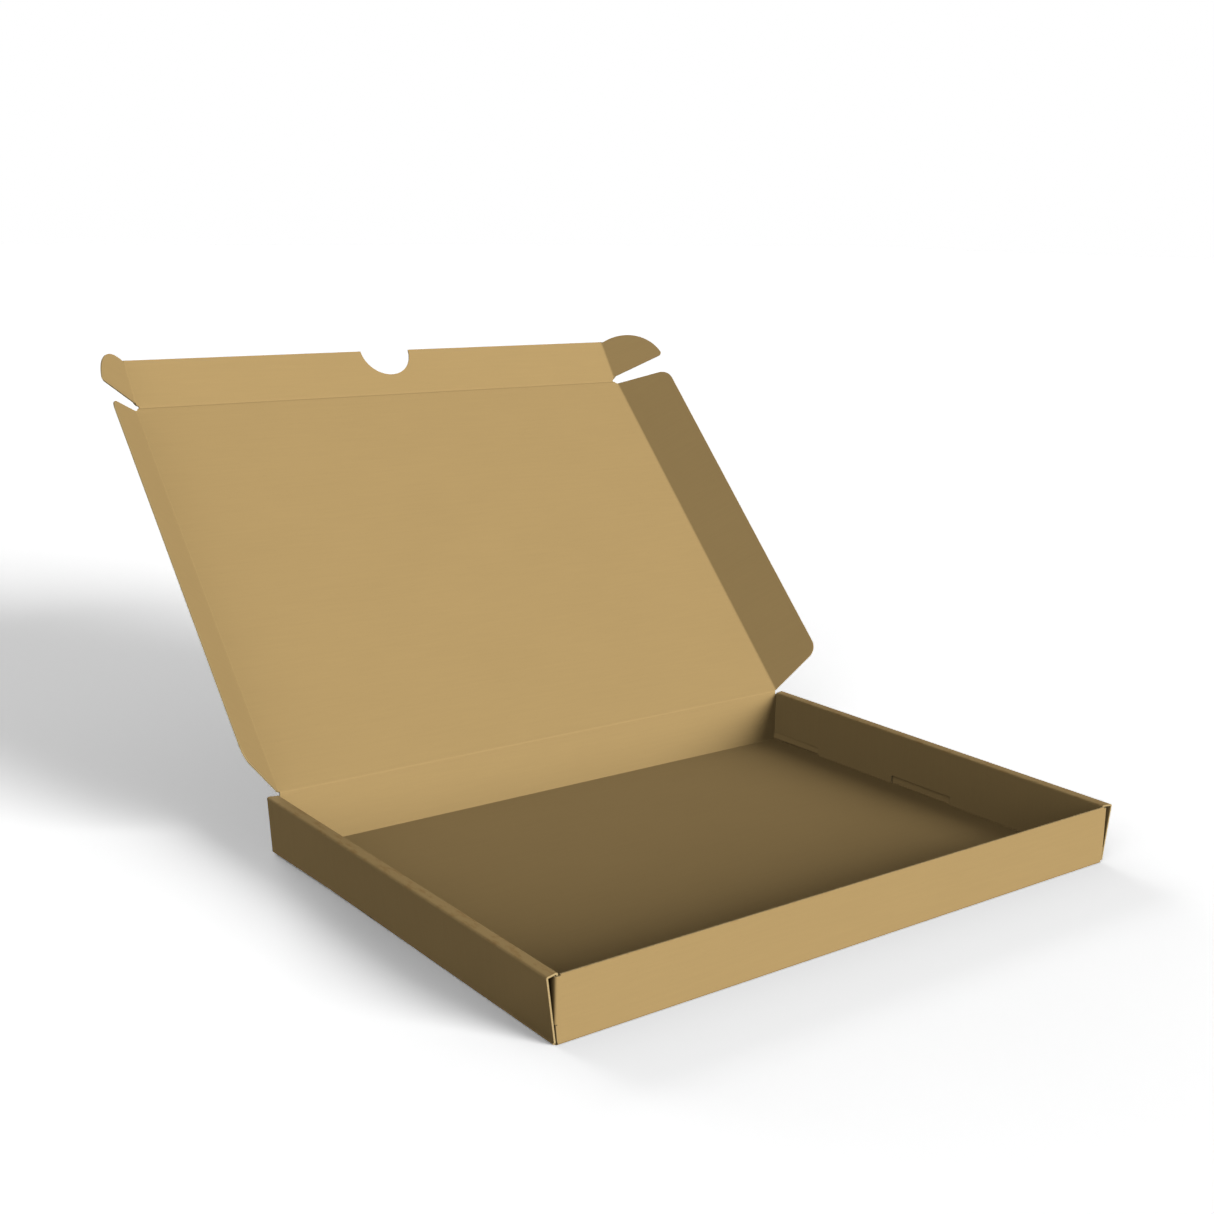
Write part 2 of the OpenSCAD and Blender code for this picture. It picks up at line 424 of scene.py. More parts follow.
def kraft_liner():
    """The face of the card: pulp clouds, streaks along the grain, mottling and single dark fibres."""
    look = finish()
    made = Finish("kraft liner")
    flat = made.node("ShaderNodeAttribute", {"attribute_name": BLANK}).outputs["Vector"]
    clouds = made.noise(flat, REPEATS["clouds"], detail=3.0)
    streaks = made.noise(flat, REPEATS["streaks"], detail=3.0, roughness=0.6)
    grain = made.noise(flat, REPEATS["grain"], detail=2.0, roughness=0.6)
    pattern = ((clouds, look.cloud), (streaks, look.streak), (grain, look.grain))
    tone = 0.5
    for noise, strength in pattern:
        tone = tone + noise * (strength * PATTERN_GAIN)
    dark, light = (shade(look.kraft, factor) for factor in KRAFT_SPAN)
    base = made.mix(tone.above(0.0).below(1.0), dark, light)
    strands = made.noise(flat, REPEATS["strands"], detail=1.0)
    fibres = made.ramp(strands, 0.2, 0.3) * look.fleck
    base = made.mix(fibres, base, tuple(look.fibre))
    rubbed = made.number(made.node("ShaderNodeAttribute", {"attribute_name": RUBBED}))
    scuffs = made.noise(flat, REPEATS["scuffs"], detail=4.0, roughness=0.6)
    marks = made.ramp(scuffs, -0.02, 0.16)
    base = made.mix(marks * rubbed * look.scuff, base, tuple(look.scuffed))
    rough = look.roughness + grain * 0.12
    tooth = made.noise(flat, REPEATS["tooth"], detail=2.0)
    relief = tooth * 0.6 + streaks * 0.4 + strands * 0.25
    bump = made.node("ShaderNodeBump", Strength=0.35, Distance=0.00004, Height=relief)
    shader = made.node("ShaderNodeBsdfPrincipled", Base_Color=base, Roughness=rough,
                       Normal=bump.outputs["Normal"], Specular_IOR_Level=0.18)
    return made.surface(shader.outputs["BSDF"])


def kraft_cut_edge():
    """The cut edge of the card: paler, with the layers of the pulp showing as broken lines."""
    look = finish()
    made = Finish("kraft cut edge")
    place = made.node("ShaderNodeTexCoord").outputs["Object"]
    layers = made.noise(place, REPEATS["layers"], detail=2.0)
    grain = made.noise(place, REPEATS["edge grain"], detail=2.0)
    tone = made.ramp(layers + grain * 0.6, -0.25, 0.3)
    base = made.mix(tone, tuple(look.edge_dark), tuple(look.edge))
    bump = made.node("ShaderNodeBump", Strength=0.4, Distance=0.00006, Height=layers + grain)
    shader = made.node("ShaderNodeBsdfPrincipled", Base_Color=base, Roughness=0.92,
                       Normal=bump.outputs["Normal"], Specular_IOR_Level=0.12)
    return made.surface(shader.outputs["BSDF"])


def card_materials():
    """The liner and the cut edge, made once."""
    names = {"kraft liner": kraft_liner, "kraft cut edge": kraft_cut_edge}
    return [bpy.data.materials.get(name) or make() for name, make in names.items()]


# Planes of the card: where a panel stands, and where it lies in the flat blank

class CardPlane:
    """A panel's plane: x across, y along, z out of the inner face, with its place in the blank."""

    def __init__(self, place, blank):
        self.place = place
        self.blank = blank

    def then(self, step, blank_step=None):
        return CardPlane(self.place @ step, self.blank @ (blank_step or step))

    def at(self, x, y=0.0):
        return self.then(Matrix.Translation((x, y, 0)))

    def turned(self, degrees):
        return self.then(Matrix.Rotation(math.radians(degrees), 4, "Z"))

    def mirrored(self, side):
        return self.then(Matrix.Diagonal((side, 1, 1, 1)))

    def folded(self, angle):
        """The next panel, folded about y towards the inner face."""
        return self.then(Matrix.Rotation(-angle, 4, "Y"), Matrix.Identity(4))


def hinge_plane():
    """Top of the back wall at the lid crease: x up the wall, z into the tray."""
    up = Matrix(((0, -1, 0, 0), (0, 0, -1, 0), (1, 0, 0, 0), (0, 0, 0, 1)))
    flat_hinge = TRAY_HIGH.y + HINGE.z
    return CardPlane(Matrix.Translation(HINGE) @ up,
                     Matrix.Translation((0, flat_hinge, 0)) @ Matrix.Rotation(math.radians(90), 4, "Z"))


def lid_plane():
    """The lid: x to the right, y from the hinge to the tuck crease."""
    return hinge_plane().folded(-LID_LEAN).turned(-90)


def tuck_edge():
    """The lid at the tuck crease: x across the crease, away from the hinge."""
    return lid_plane().turned(90).at(LID_LENGTH)


def tuck_plane():
    """The tuck flap: x to the right, y away from the lid."""
    return tuck_edge().folded(TUCK_FOLD).turned(-90)


def flap_edge(side):
    """The lid at a side crease: x out across the crease, y away from the hinge."""
    return lid_plane().mirrored(side).at(LID_HALF)


def flap_plane(side):
    """A side flap: x out from its crease, y away from the hinge."""
    return flap_edge(side).folded(flaps().flap_fold)


def ear_edge(side):
    """The tuck flap at an ear crease: x out across the crease, y away from the lid."""
    return tuck_plane().mirrored(side).at(TUCK_HALF)


def ear_plane(side):
    """An ear: x out from its crease, y away from the lid."""
    return ear_edge(side).folded(flaps().ear_fold)


# Mesh helpers

class Outline:
    """Draws a panel's outline with lines and arcs, then fills it."""

    def __init__(self, x, y):
        self.bm = bmesh.new()
        self.first = self.last = self.bm.verts.new((x, y, 0))

    def line(self, x, y):
        point = self.bm.verts.new((x, y, 0))
        self.bm.edges.new((self.last, point))
        self.last = point
        return self

    def arc(self, x, y, angle, steps):
        """Turns the pen about a centre."""
        made = bmesh.ops.spin(self.bm, geom=[self.last], cent=(x, y, 0), axis=(0, 0, 1), angle=angle,
                              steps=steps, use_duplicate=False)
        self.last = next(part for part in made["geom_last"] if isinstance(part, bmesh.types.BMVert))
        return self

    def fill(self):
        self.bm.edges.new((self.last, self.first))
        bmesh.ops.contextual_create(self.bm, geom=self.bm.edges[:])
        bmesh.ops.remove_doubles(self.bm, verts=self.bm.verts[:], dist=JOINED)
        return self.bm


def lay_out(bm, plane):
    """Notes each point's place in the flat blank and moves the drawing to its plane."""
    layer = bm.verts.layers.float_vector.new(BLANK)
    for point in bm.verts:
        point[layer] = plane.blank @ point.co
    bmesh.ops.transform(bm, matrix=plane.place, verts=bm.verts[:])
    bmesh.ops.recalc_face_normals(bm, faces=bm.faces[:])


def middle_of(part):
    """The middle of a point, an edge or a face, as a key to sort by."""
    points = [part] if isinstance(part, bmesh.types.BMVert) else part.verts
    middle = sum((point.co for point in points), Vector()) / len(points)
    return tuple(round(value / CLOSE) for value in middle)


def put_in_order(bm):
    """Lists points, edges and faces by their places, so that every run gives the same mesh."""
    for parts in (bm.verts, bm.edges, bm.faces):
        ranks = {part: rank for rank, part in enumerate(sorted(parts, key=middle_of))}
        parts.sort(key=ranks.get)
        parts.index_update()


def new_object(bm, name):
    """An object at the origin with the card's materials."""
    put_in_order(bm)
    mesh = bpy.data.meshes.new(name)
    bm.to_mesh(mesh)
    bm.free()
    for material in card_materials():
        mesh.materials.append(material)
    made = bpy.data.objects.new(name, mesh)
    bpy.context.scene.collection.objects.link(made)
    return made


def set_edges(mesh):
    """Smooth bends and crisp cut edges."""
    mesh.shade_smooth()
    mesh.set_sharp_from_angle(angle=math.radians(SHARP_EDGE))


def thicken(bm, name):
    """Gives a drawing of the card's middle its thickness, with cut edges round it."""
    made = new_object(bm, name)
    wall = made.modifiers.new("board", "SOLIDIFY")
    wall.thickness = card().board
    wall.offset = 0.0
    wall.use_even_offset = True
    wall.material_offset_rim = CUT_EDGE
    soften = made.modifiers.new("cut edges", "BEVEL")
    soften.width = card().soften
    soften.segments = 2
    soften.limit_method = "ANGLE"
    soften.angle_limit = math.radians(SOFT_EDGE)
    soften.use_clamp_overlap = False
    solid = made.evaluated_get(bpy.context.evaluated_depsgraph_get())
    mesh = bpy.data.meshes.new_from_object(solid)
    made.modifiers.clear()
    drawn = made.data
    made.data = mesh
    bpy.data.meshes.remove(drawn)
    mesh.name = name
    set_edges(mesh)
    return made


def stand_for(piece, body, node):
    """Puts a piece on its body in place of its solid."""
    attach(piece, body)
    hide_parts(node)


def rounded_path(points, radii, steps, hold):
    """A path with round corners, and a point a little before and after each round."""
    path = [points[0]]
    for before, corner, after, radius in zip(points, points[1:], points[2:], radii):
        back = (before - corner).normalized()
        ahead = (after - corner).normalized()
        half = back.angle(ahead) / 2
        run = radius / math.tan(half)
        centre = corner + (back + ahead).normalized() * (radius / math.sin(half))
        start = corner + back * run - centre
        sweep = start.angle_signed(corner + ahead * run - centre)
        path.append(corner + back * (run + hold))
        for step in range(steps + 1):
            path.append(centre + Matrix.Rotation(-sweep * step / steps, 2) @ start)
        path.append(corner + ahead * (run + hold))
    return path + [points[-1]]


# Tray

class TrayFold:
    """The right half of the tray, grown from its floor by drawing edges up along their folds."""

    def __init__(self):
        sizes, paper = tray_sizes(), card()
        half = paper.board / 2
        self.bend_out = paper.bend + half
        self.half_w = TRAY_HIGH.x - sizes.side_lean
        self.half_d = TRAY_HIGH.y
        self.wall_y = self.half_d - half
        self.floor_x = self.half_w - half
        self.floor_z = half
        self.roll_z = sizes.side_height - half
        self.roll_out = self.half_w + sizes.side_lean - half
        self.roll_in = self.half_w + sizes.side_lean - sizes.roll_width + half
        self.shoulder_x = self.roll_in - half - paper.layer_gap
        self.shoulder_z = sizes.side_height - paper.board - paper.layer_gap
        self.foot_x = self.half_w - paper.board - paper.layer_gap
        self.bend_x = self.floor_x - self.bend_out
        self.roll_end = self.half_d - sizes.roll_inset
        self.inner_end = self.half_d - paper.board - paper.layer_gap
        self.floor_end = self.half_d - self.bend_out - paper.layer_gap
        self.notch_z = paper.board + sizes.notch_height
        self.corner_z = (paper.board + paper.layer_gap) / sizes.side_lean * self.roll_z + half
        self.slot_half = sizes.tab_length / 2 + sizes.slot_gap
        self.bm = bmesh.new()
        self.blank = self.bm.verts.layers.float_vector.new(BLANK)

    def grow(self, edges, place):
        """Extrudes edges and puts each new point where place says; returns the new outer edges."""
        made = bmesh.ops.extrude_edge_only(self.bm, edges=edges)["geom"]
        for point in (part for part in made if isinstance(part, bmesh.types.BMVert)):
            before = point.co.copy()
            spot, flat_step = place(before)
            point.co = spot
            point[self.blank] = point[self.blank] + flat_step * (spot - before).length
        return [part for part in made if isinstance(part, bmesh.types.BMEdge)]

    def outer_edges(self, test):
        """Edges whose two points pass a test."""
        return [edge for edge in self.bm.edges if all(test(point.co) for point in edge.verts)]

    def floor(self):
        """The floor from its middle line to the side fold, with the locking slots cut out."""
        sizes = tray_sizes()
        slot_out = self.roll_in + card().board / 2 + sizes.slot_gap
        slot_in = slot_out - card().board - 2 * sizes.slot_gap
        flat_y = self.wall_y - card().bend
        slots = [sizes.tab_place - self.slot_half, sizes.tab_place + self.slot_half]
        far = slots + [self.floor_end, flat_y]
        line = [self.bm.verts.new((0, y, self.floor_z)) for y in [-y for y in reversed(far)] + far]
        for point in line:
            point[self.blank] = point.co
        edges = [self.bm.edges.new(pair) for pair in zip(line, line[1:])]
        for x in (self.shoulder_x, slot_in, self.bend_x, slot_out, self.floor_x - card().bend):
            edges = self.grow(edges, lambda co, x=x: (Vector((x, co.y, co.z)), Vector((1, 0, 0))))
        holes = [face for face in self.bm.faces
                 if slot_in < face.calc_center_median().x < slot_out
                 and slots[0] < abs(face.calc_center_median().y) < slots[1]]
        bmesh.ops.delete(self.bm, geom=holes, context="FACES")
        self.bm.verts.index_update()

    def side_wall(self):
        """The rolled side wall: outer panel, top strip, inner panel and its tabs."""
        sizes = tray_sizes()
        corners = [Vector((0, self.floor_z)), Vector((self.floor_x, self.floor_z)),
                   Vector((self.roll_out, self.roll_z)), Vector((self.roll_in, self.roll_z)),
                   Vector((self.roll_in, self.notch_z))]
        radii = (card().bend, card().roll_bend, card().roll_bend)
        path = rounded_path(corners, radii, card().bend_steps, HOLD)
        bend_points = card().bend_steps + 3
        rows = [(spot, self.floor_end) for spot in path[3:1 + bend_points]]
        rows += [(spot, self.roll_end) for spot in path[bend_points:2 * bend_points + 1]]
        rows += [(spot, self.inner_end) for spot in path[1 + 2 * bend_points:]]
        floor_rim = self.floor_x - card().bend
        edges = self.outer_edges(lambda co: abs(co.x - floor_rim) < CLOSE
                                 and abs(co.y) < self.floor_end + CLOSE)
        end_now = self.floor_end
        for spot, end in rows:
            def place(co, spot=spot, end=end, end_now=end_now):
                y = math.copysign(end, co.y) if abs(abs(co.y) - end_now) < CLOSE else co.y
                return Vector((spot.x, y, spot.y)), Vector((1, 0, 0))
            edges = self.grow(edges, place)
            end_now = end
        tabs = []
        for edge in edges:
            middle = abs(sum(point.co.y for point in edge.verts)) / 2
            if abs(middle - sizes.tab_place) < self.slot_half / 2:
                tabs.append(edge)
        self.grow(tabs, lambda co: (Vector((co.x, co.y, sizes.slot_gap)), Vector((1, 0, 0))))

    def end_wall(self, end, top):
        """The front (-1) or back (1) wall, with the corner flap that folds in behind the roll."""
        corners = [Vector((0, self.floor_z)), Vector((end * self.wall_y, self.floor_z)),
                   Vector((end * self.wall_y, self.shoulder_z))]
        path = rounded_path(corners, [card().bend], card().bend_steps, HOLD)[3:-1]
        rows = [(spot, self.bend_x) for spot in path]
        rise = end * self.wall_y
        rows += [(Vector((rise, z)), x) for z, x in ((path[-1].y + HOLD / 4, self.foot_x),
                                                     (self.corner_z - SLIT, self.floor_x),
                                                     (self.corner_z - SLIT_STEP * SLIT, self.foot_x),
                                                     (self.corner_z, self.foot_x),
                                                     (self.shoulder_z, self.foot_x))]
        rim = end * (self.wall_y - card().bend)
        edges = self.outer_edges(lambda co: abs(co.y - rim) < CLOSE and co.x < self.bend_x + CLOSE
                                 and abs(co.z - self.floor_z) < CLOSE)
        end_now = self.bend_x
        for spot, x_end in rows:
            def place(co, spot=spot, x_end=x_end, end_now=end_now):
                x = x_end if abs(co.x - end_now) < CLOSE else co.x
                return Vector((x, spot.x, spot.y)), Vector((0, end, 0))
            edges = self.grow(edges, place)
            end_now = x_end
        crest = [edge for edge in edges if all(p.co.x < self.shoulder_x + CLOSE for p in edge.verts)]
        self.grow(crest, lambda co: (Vector((co.x, co.y, top)), Vector((0, end, 0))))
        self.corner_flap(end, rise)

    def corner_flap(self, end, rise):
        """A flap from the wall's end, folded back along the side wall."""
        sizes = tray_sizes()
        far = rise - end * sizes.corner_length
        corners = [Vector((0, rise)), Vector((self.floor_x, rise)), Vector((self.floor_x, far))]
        path = rounded_path(corners, [card().bend], card().bend_steps, 0.0)[1:]
        middle = (self.corner_z + self.shoulder_z) / 2
        narrow = 1 - 2 * sizes.corner_slant / (self.shoulder_z - self.corner_z)
        edges = self.outer_edges(lambda co: abs(co.x - self.foot_x) < CLOSE and abs(co.y - rise) < CLOSE
                                 and self.corner_z - CLOSE < co.z < self.shoulder_z + CLOSE)
        for spot in path:
            last = spot is path[-1]
            def place(co, spot=spot, last=last):
                z = middle + (co.z - middle) * (narrow if last else 1)
                return Vector((spot.x, spot.y, z)), Vector((1, 0, 0))
            edges = self.grow(edges, place)

    def whole(self):
        """Both halves of the folded sheet."""
        self.floor()
        self.side_wall()
        self.end_wall(-1, tray_sizes().front_height)
        self.end_wall(1, HINGE.z - card().crease_reach + card().crease_lap)
        half = self.bm.verts[:] + self.bm.edges[:] + self.bm.faces[:]
        bmesh.ops.mirror(self.bm, geom=half, matrix=Matrix.Identity(4), axis="X", merge_dist=JOINED)
        for point in self.bm.verts:
            if point.co.x < 0:
                flat = point[self.blank]
                point[self.blank] = Vector((-abs(flat.x), flat.y, flat.z))
        bmesh.ops.remove_doubles(self.bm, verts=self.bm.verts[:], dist=CLOSE)
        bmesh.ops.recalc_face_normals(self.bm, faces=self.bm.faces[:])
        rubbed = self.bm.verts.layers.float.new(RUBBED)
        for point in self.bm.verts:
            point[rubbed] = point.co.z > self.roll_z - HOLD
        return self.bm


# Lid and its flaps

def panel_start():
    """Distance from a crease line at which a panel starts, under the bent card of the crease."""
    return card().crease_reach - card().crease_lap


def lid_drawing():
    """The lid, a plain panel between its creases."""
    start = panel_start()
    across = LID_HALF - start
    ahead = LID_LENGTH - start
    return Outline(-across, start).line(across, start).line(across, ahead).line(-across, ahead).fill()


def flap_drawing():
    """A side flap: slanting ends with round corners."""
    sizes = flaps()
    start, width, radius = panel_start(), sizes.flap_width, sizes.flap_corner
    slope = sizes.flap_slant / width
    tilt = math.atan(slope)
    run = radius * math.tan(math.pi / 4 - tilt / 2)
    low = sizes.flap_root
    high = LID_LENGTH - sizes.relief
    back_x = width - run * math.cos(tilt)
    pen = Outline(start, low + slope * start).line(back_x, low + slope * back_x)
    pen.arc(width - radius, low + sizes.flap_slant + run, math.pi / 2 - tilt, CORNER_STEPS)
    pen.line(width, high - sizes.flap_slant - run)
    pen.arc(width - radius, high - sizes.flap_slant - run, math.pi / 2 - tilt, CORNER_STEPS)
    return pen.line(start, high - slope * start).fill()


def tuck_drawing():
    """The tuck flap, with the thumb notch in its free edge."""
    sizes = flaps()
    start, top = panel_start(), sizes.tuck_height
    across = TUCK_HALF - start
    pen = Outline(-across, start).line(across, start).line(across, top).line(sizes.thumb_radius, top)
    pen.arc(0, top, -math.pi, THUMB_STEPS)
    return pen.line(-across, top).fill()


def ear_drawing():
    """An ear: a round back and a nearly straight edge towards the lid, with a rounded tip."""
    sizes = flaps()
    start, radius, reach, tip = panel_start(), sizes.ear_radius, sizes.ear_reach, sizes.ear_tip
    tip_y = sizes.ear_root + sizes.ear_slope + tip
    tip_x = reach + math.sqrt((radius - tip) ** 2 - tip_y ** 2)
    rise = math.atan2(tip_y, tip_x - reach)
    back = math.acos((start - reach) / radius)
    pen = Outline(start, sizes.ear_root + sizes.ear_slope * start / tip_x).line(tip_x, tip_y - tip)
    pen.arc(tip_x, tip_y, math.pi / 2 + rise, TIP_STEPS)
    pen.arc(reach, 0, back - rise, EAR_STEPS)
    return pen.fill()


# Creases that bend as the flaps move

class Crease:
    """Bent card along a crease, from the flat of one panel to the flat of the next."""

    def __init__(self, name, plane, fold, bodies, low, high, groove):
        self.name = name
        self.plane = plane
        self.fold = fold
        self.bodies = bodies
        self.low = low
        self.high = high
        self.groove = groove

    def middle(self, reach):
        """Point and inner normal of the card's middle at a distance across the crease."""
        bend = card().crease_bend
        radius = bend / math.tan(self.fold / 2)
        if reach <= -bend:
            return Vector((reach, 0, 0)), Vector((0, 0, 1))
        if reach >= bend:
            along = Vector((math.cos(self.fold), 0, math.sin(self.fold)))
            return along * reach, Vector((-along.z, 0, along.x))
        angle = self.fold * (reach + bend) / (2 * bend)
        spot = Vector((radius * math.sin(angle) - bend, 0, radius * (1 - math.cos(angle))))
        return spot, Vector((-math.sin(angle), 0, math.cos(angle)))

    def pressed(self, reach):
        """How deep the pressed line is at a distance across the crease."""
        return self.groove * math.exp(-(reach / card().crease_line) ** 2)

    def section(self):
        """The card's section as pairs of distance across and point, round the inner and outer faces."""
        paper = card()
        half = paper.board / 2 + paper.crease_skin
        reaches = [paper.crease_reach * (2 * step / CREASE_STEPS - 1) for step in range(CREASE_STEPS + 1)]
        inner, outer = [], []
        for reach in reaches:
            spot, normal = self.middle(reach)
            press = self.pressed(reach)
            inner.append((reach, spot + normal * (half - press)))
            outer.append((reach, spot - normal * (half + press)))
        return inner + outer[::-1]

    def build(self):
        """Makes the bent card and lets it follow both bodies."""
        bm = bmesh.new()
        across = bm.verts.layers.float.new("across")
        blank = bm.verts.layers.float_vector.new(BLANK)
        ring = []
        for reach, spot in self.section():
            point = bm.verts.new((spot.x, self.low(reach), spot.z))
            point[across] = reach
            ring.append(point)
        cap = bm.faces.new(ring)
        made = bmesh.ops.extrude_face_region(bm, geom=[cap], use_keep_orig=True)["geom"]
        for point in made:
            if isinstance(point, bmesh.types.BMVert):
                point.co.y = self.high(point[across])
        for face in bm.faces:
            face.material_index = CUT_EDGE if len(face.verts) > 4 else LINER
        for point in bm.verts:
            point[blank] = self.plane.blank @ Vector((point[across], point.co.y, 0))
        bm.verts.layers.float.remove(across)
        bmesh.ops.transform(bm, matrix=self.plane.place, verts=bm.verts[:])
        bmesh.ops.recalc_face_normals(bm, faces=bm.faces[:])
        piece = new_object(bm, self.name)
        set_edges(piece.data)
        bend = card().crease_bend
        centre = (self.low(0) + self.high(0)) / 2
        along = Vector((0, centre, 0))
        ends = [self.plane.place @ (self.middle(reach)[0] + along) for reach in (-bend, bend)]
        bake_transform(piece, *self.bodies, start=ends[0], end=ends[1])


def relief_gap(reach):
    """How far the round relief cuts into a crease at a distance across it."""
    radius = flaps().relief
    return math.sqrt(max(0.0, radius ** 2 - min(abs(reach), radius) ** 2))


def hinge_crease():
    """Between the back wall and the lid."""
    half = TRAY_HIGH.x - tray_sizes().roll_width - HINGE_INSET
    return Crease("lid_hinge_crease", hinge_plane(), -LID_LEAN, ("tray", "lid"),
                  lambda reach: -half, lambda reach: half, -card().crease_groove * HINGE_PRESS)


def tuck_crease():
    """Between the lid and the tuck flap, cut away by the round reliefs at its ends."""

    def half(reach):
        return (LID_HALF if reach < 0 else TUCK_HALF) - relief_gap(reach)
    return Crease("tuck_crease", tuck_edge(), TUCK_FOLD, ("lid", "tuck"),
                  lambda reach: -half(reach), half, card().crease_groove)


def flap_crease(word, side):
    """Between the lid and a side flap."""
    sizes = flaps()
    slope = sizes.flap_slant / sizes.flap_width

    def low(reach):
        return sizes.flap_root + slope * max(reach, 0.0)

    def high(reach):
        return LID_LENGTH - (relief_gap(reach) if reach < 0 else sizes.relief + slope * reach)
    return Crease(f"{word}_flap_crease", flap_edge(side), sizes.flap_fold, ("lid", f"{word}_flap"),
                  low, high, -card().crease_groove * FLAP_PRESS)


def ear_crease(word, side):
    """Between the tuck flap and an ear."""
    sizes = flaps()

    def low(reach):
        return relief_gap(reach) if reach < 0 else sizes.ear_root

    def high(reach):
        if reach < 0:
            return sizes.tuck_height
        return math.sqrt(sizes.ear_radius ** 2 - (reach - sizes.ear_reach) ** 2)
    return Crease(f"{word}_ear_crease", ear_edge(side), sizes.ear_fold, ("tuck", f"{word}_ear"),
                  low, high, -card().crease_groove * FLAP_PRESS)


# Stage

def seen_directly(made):
    """1 for rays from the camera, also by way of a mirror or glass, and 0 for light that bounces."""
    path = made.node("ShaderNodeLightPath")
    seen = made.number(path, "Is Camera Ray").above(made.number(path, "Is Glossy Ray"))
    return seen.above(made.number(path, "Is Transmission Ray"))


def white_floor():
    """A floor that is white where the lights reach it and keeps the object's shadow."""
    stage = studio()
    made = Finish("white floor")
    seen = seen_directly(made)
    tone = [stage.floor_lit] * 3 + [1.0]
    # The white glow that the camera sees is faded by ambient occlusion, which paints shade on the floor close
    # to the box
    around = made.node("ShaderNodeAmbientOcclusion", {"samples": 3}, Distance=stage.shade_reach)
    open_share = made.number(around, "AO")
    white = made.mix(seen * open_share, (0.0, 0.0, 0.0), (1.0, 1.0, 1.0))
    matte = made.node("ShaderNodeBsdfPrincipled", Base_Color=tone, Roughness=1.0,
                      Specular_IOR_Level=0.0, Emission_Color=white, Emission_Strength=stage.floor_white)
    made.owner.cycles.emission_sampling = "NONE"
    return made.surface(matte.outputs["BSDF"])


def white_world():
    """Even light all round, white to the camera."""
    made = WorldFinish("white studio")
    seen = seen_directly(made)
    backdrop = made.node("ShaderNodeBackground", Color=(1.0, 1.0, 1.0, 1.0),
                         Strength=seen + (1 - seen) * studio().dome)
    bpy.context.scene.world = made.surface(backdrop.outputs["Background"])


def soft_light(name, azimuth, elevation, spread, strength):
    """A far soft light."""
    lamp = bpy.data.lights.new(name, "SUN")
    lamp.energy = strength
    lamp.angle = math.radians(spread)
    around, up = math.radians(azimuth), math.radians(elevation)
    away = Vector((math.sin(around) * math.cos(up), -math.cos(around) * math.cos(up), math.sin(up)))
    made = bpy.data.objects.new(name, lamp)
    turned = away.to_track_quat("Z", "Y").to_matrix().to_4x4()
    made.matrix_world = Matrix.Translation(away * LAMP_DISTANCE) @ turned
    bpy.context.scene.collection.objects.link(made)


def photo_camera():
    """The camera of the photo."""
    stage = studio()
    yaw, drop, roll = stage.camera_yaw, stage.camera_drop, stage.camera_roll
    ahead = Vector((math.sin(yaw) * math.cos(drop), math.cos(yaw) * math.cos(drop), -math.sin(drop)))
    across = ahead.cross(Vector((0, 0, 1))).normalized()
    above = across.cross(ahead)
    right = across * math.cos(roll) + above * math.sin(roll)
    up = above * math.cos(roll) - across * math.sin(roll)
    lens = bpy.data.cameras.new("photo camera")
    lens.lens = stage.lens
    lens.sensor_width = SENSOR
    lens.clip_start = NEAR_CLIP
    made = bpy.data.objects.new("photo camera", lens)
    turned = Matrix((right, up, -ahead)).transposed().to_4x4()
    made.matrix_world = Matrix.Translation(Vector(stage.camera_place)) @ turned
    bpy.context.scene.collection.objects.link(made)
    bpy.context.scene.camera = made


# Operators

class MAILER_OT_tray(Operator):
    """Fold the tray from one sheet"""

    bl_idname = "mailer.tray"
    bl_label = "Fold tray"

    def execute(self, context):
        stand_for(thicken(TrayFold().whole(), "tray_card"), "tray", "tray")
        return {"FINISHED"}


class MAILER_OT_lid(Operator):
    """Cut the lid panel"""

    bl_idname = "mailer.lid"
    bl_label = "Cut lid"

    def execute(self, context):
        drawing = lid_drawing()
        lay_out(drawing, lid_plane())
        stand_for(thicken(drawing, "lid_card"), "lid", "lid_panel")
        return {"FINISHED"}


class MAILER_OT_side_flaps(Operator):
    """Cut the two side flaps of the lid"""

    bl_idname = "mailer.side_flaps"
    bl_label = "Cut side flaps"

    def execute(self, context):
        for word, side in SIDES.items():
            drawing = flap_drawing()
            lay_out(drawing, flap_plane(side))
            stand_for(thicken(drawing, f"{word}_flap_card"), f"{word}_flap", f"{word}_side_flap")
        return {"FINISHED"}


class MAILER_OT_tuck(Operator):
    """Cut the tuck flap with its thumb notch"""

    bl_idname = "mailer.tuck"
    bl_label = "Cut tuck flap"

    def execute(self, context):
        drawing = tuck_drawing()
        lay_out(drawing, tuck_plane())
        stand_for(thicken(drawing, "tuck_card"), "tuck", "tuck_flap")
        return {"FINISHED"}


class MAILER_OT_ears(Operator):
    """Cut the two ears of the tuck flap"""

    bl_idname = "mailer.ears"
    bl_label = "Cut ears"

    def execute(self, context):
        for word, side in SIDES.items():
            drawing = ear_drawing()
            lay_out(drawing, ear_plane(side))
            stand_for(thicken(drawing, f"{word}_ear_card"), f"{word}_ear", f"{word}_tuck_ear")
        return {"FINISHED"}


class MAILER_OT_creases(Operator):
    """Press the creases that the lid and its flaps turn on"""

    bl_idname = "mailer.creases"
    bl_label = "Press creases"

    def execute(self, context):
        made = [hinge_crease(), tuck_crease()]
        for word, side in SIDES.items():
            made += [flap_crease(word, side), ear_crease(word, side)]
        for crease in made:
            crease.build()
        return {"FINISHED"}


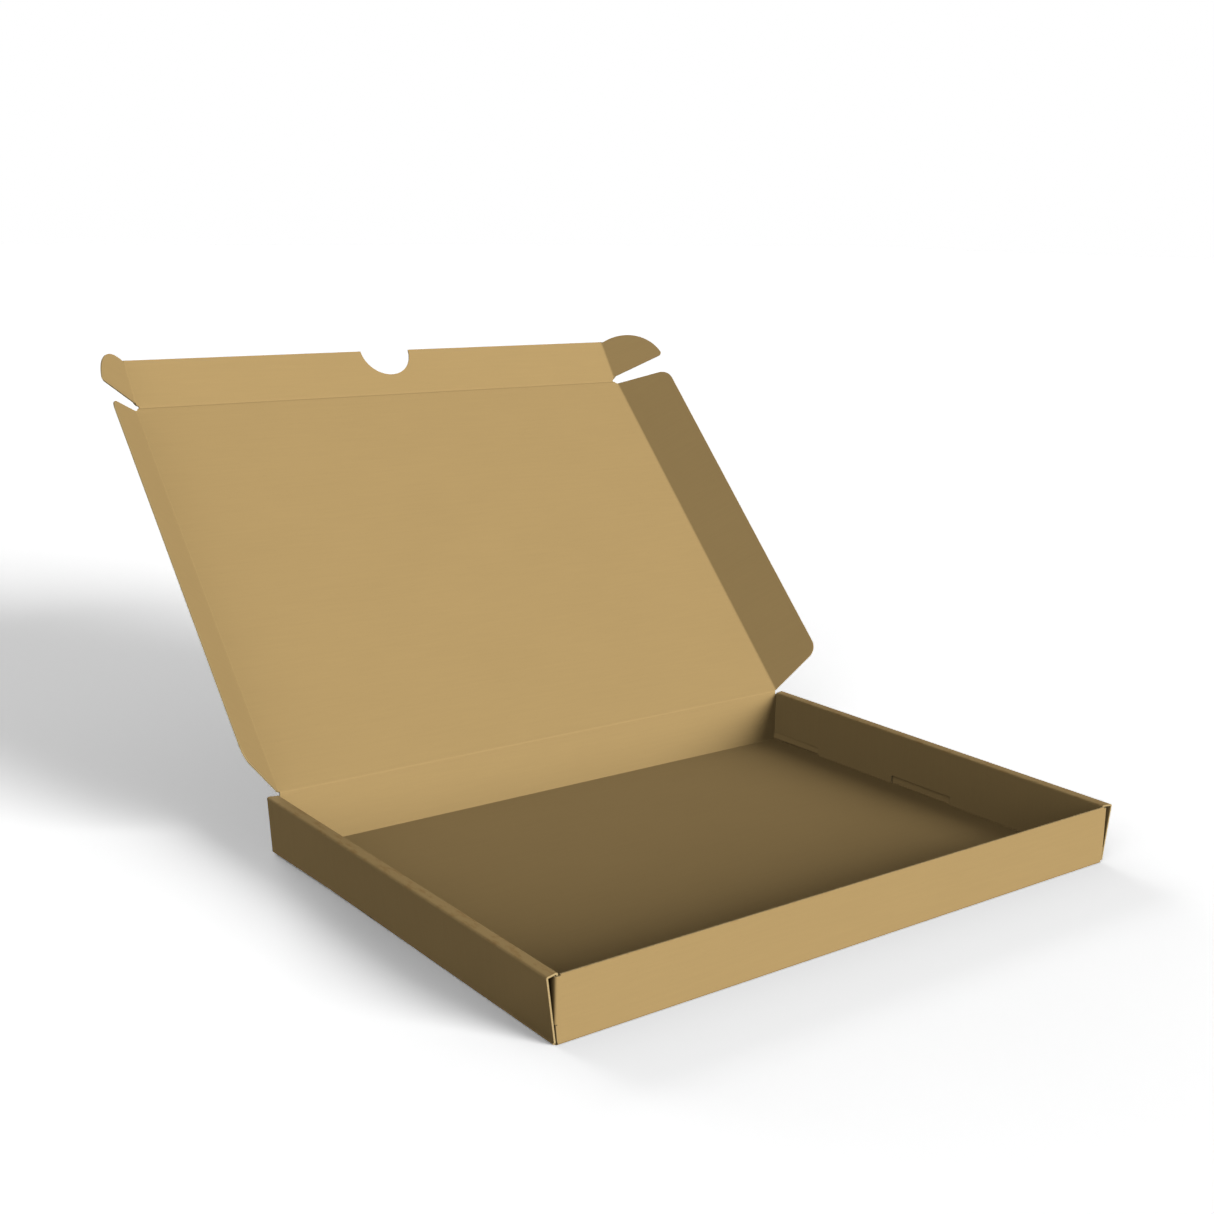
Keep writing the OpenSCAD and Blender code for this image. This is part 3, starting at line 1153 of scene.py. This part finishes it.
class MAILER_OT_stage(Operator):
    """Set up the floor, the lights and the camera"""

    bl_idname = "mailer.stage"
    bl_label = "Set stage"

    def execute(self, context):
        stage = studio()
        bm = bmesh.new()
        bmesh.ops.create_grid(bm, x_segments=1, y_segments=1, size=FLOOR_HALF)
        mesh = bpy.data.meshes.new("floor")
        bm.to_mesh(mesh)
        bm.free()
        mesh.materials.append(white_floor())
        ground = bpy.data.objects.new("floor", mesh)
        context.scene.collection.objects.link(ground)
        white_world()
        for name, place in LAMPS.items():
            soft_light(f"{name} light", *place, getattr(stage, name))
        context.scene.cycles.diffuse_bounces = stage.bounces
        photo_camera()
        context.scene.view_settings.view_transform = "Standard"
        return {"FINISHED"}


class MAILER_PT_sidebar(Panel):
    """Buttons and settings of the mailer box"""

    bl_idname = "MAILER_PT_sidebar"
    bl_label = "Mailer Box"
    bl_space_type = "VIEW_3D"
    bl_region_type = "UI"
    bl_category = "Mailer Box"

    def draw(self, context):
        for operator in OPERATORS:
            self.layout.operator(operator.bl_idname)
        for name, group in SETTINGS.items():
            box = self.layout.box()
            for key in group.__annotations__:
                box.prop(getattr(context.scene, name), key)


OPERATORS = (MAILER_OT_tray, MAILER_OT_lid, MAILER_OT_side_flaps, MAILER_OT_tuck, MAILER_OT_ears,
             MAILER_OT_creases, MAILER_OT_stage)
SETTINGS = {"mailer_card": CardSizes, "mailer_tray": TraySizes, "mailer_flaps": FlapSizes,
            "mailer_finish": KraftFinish, "mailer_stage": StudioStage}


def register():
    for cls in (*SETTINGS.values(), *OPERATORS, MAILER_PT_sidebar):
        bpy.utils.register_class(cls)
    for name, group in SETTINGS.items():
        setattr(bpy.types.Scene, name, PointerProperty(type=group))


def unregister():
    for name in SETTINGS:
        delattr(bpy.types.Scene, name)
    for cls in reversed((*SETTINGS.values(), *OPERATORS, MAILER_PT_sidebar)):
        bpy.utils.unregister_class(cls)


def main():
    register()
    bpy.ops.mailer.tray()
    bpy.ops.mailer.lid()
    bpy.ops.mailer.side_flaps()
    bpy.ops.mailer.tuck()
    bpy.ops.mailer.ears()
    bpy.ops.mailer.creases()
    bpy.ops.mailer.stage()


if __name__ == "__main__":
    main()
